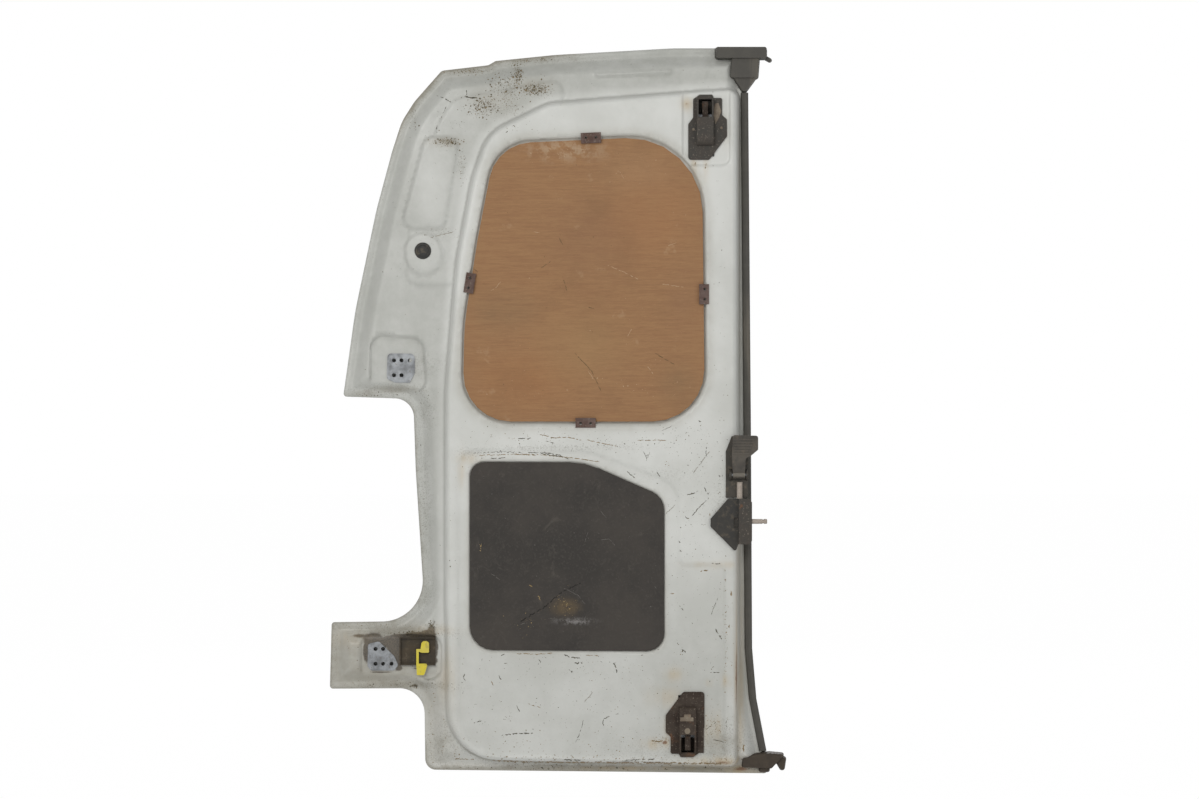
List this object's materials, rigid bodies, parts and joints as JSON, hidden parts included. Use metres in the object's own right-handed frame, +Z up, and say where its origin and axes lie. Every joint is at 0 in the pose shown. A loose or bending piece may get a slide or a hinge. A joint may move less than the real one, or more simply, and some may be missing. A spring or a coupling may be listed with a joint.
{
  "type": "van rear door",
  "caption": "Rear barn door of a small van with a pressed inner panel, a boarded upper opening, edge latches, a release lever and a rubber edge seal.",
  "frame": {"origin": "centre of the lower hinge plate's visible flat face", "axes": "+X to the meeting edge, +Z up, -Y towards the load space, out of the hinge plate's face"},
  "size_m": [0.7546, 0.0809, 1.2009],
  "materials": {
    "body_paint": "worn white paint with grime",
    "zinc": "dull zinc plate",
    "plywood": "raw plywood",
    "clip_metal": "tarnished",
    "cover_black": "matt, scuffed",
    "seal_rubber": "weathered",
    "latch_steel": "blackened, rusty",
    "lever_black": "moulded",
    "plug_black": "moulded",
    "channel_brown": "greasy",
    "clip_yellow": "dirty"
  },
  "bodies": {
    "door": {"outer_skin": "body_paint", "inner_panel": "body_paint", "upper_hinge_plate": "zinc", "lower_hinge_plate": "zinc", "blanking_plug": "plug_black", "plywood_board": "plywood", "board_clip_top": "clip_metal", "board_clip_right": "clip_metal", "board_clip_bottom": "clip_metal", "board_clip_left": "clip_metal", "access_cover": "cover_black", "edge_seal": "seal_rubber", "seal_cap_top": "seal_rubber", "seal_cap_bottom": "seal_rubber", "upper_latch_plate": "latch_steel", "upper_latch_housing": "latch_steel", "upper_latch_pin": "zinc", "lower_latch_plate": "latch_steel", "lower_latch_housing": "latch_steel", "lower_latch_pin": "zinc", "lever_bracket": "lever_black", "lever_pin": "zinc", "link_rod": "zinc", "catch_cover": "lever_black", "catch_body": "latch_steel", "striker_pin": "zinc", "check_strap_channel": "channel_brown", "check_strap_clip": "clip_yellow"},
    "lever": {"release_lever": "lever_black"},
    "upper_claw": {"upper_latch_claw": "latch_steel"},
    "lower_claw": {"lower_latch_claw": "latch_steel"}
  },
  "joints": [
    {"name": "lever_swing", "type": "hinge", "parent": "door", "child": "lever", "pos_m": [0.587, -0.048, 0.3], "axis": [1, 0, 0], "range_deg": [0, 30]},
    {"name": "upper_claw_turn", "type": "hinge", "parent": "door", "child": "upper_claw", "pos_m": [0.532, -0.03, 0.888], "axis": [1, 0, 0], "range_deg": [0, 35]},
    {"name": "lower_claw_turn", "type": "hinge", "parent": "door", "child": "lower_claw", "pos_m": [0.5035, -0.03, -0.128], "axis": [-1, 0, 0], "range_deg": [0, 35]}
  ]
}
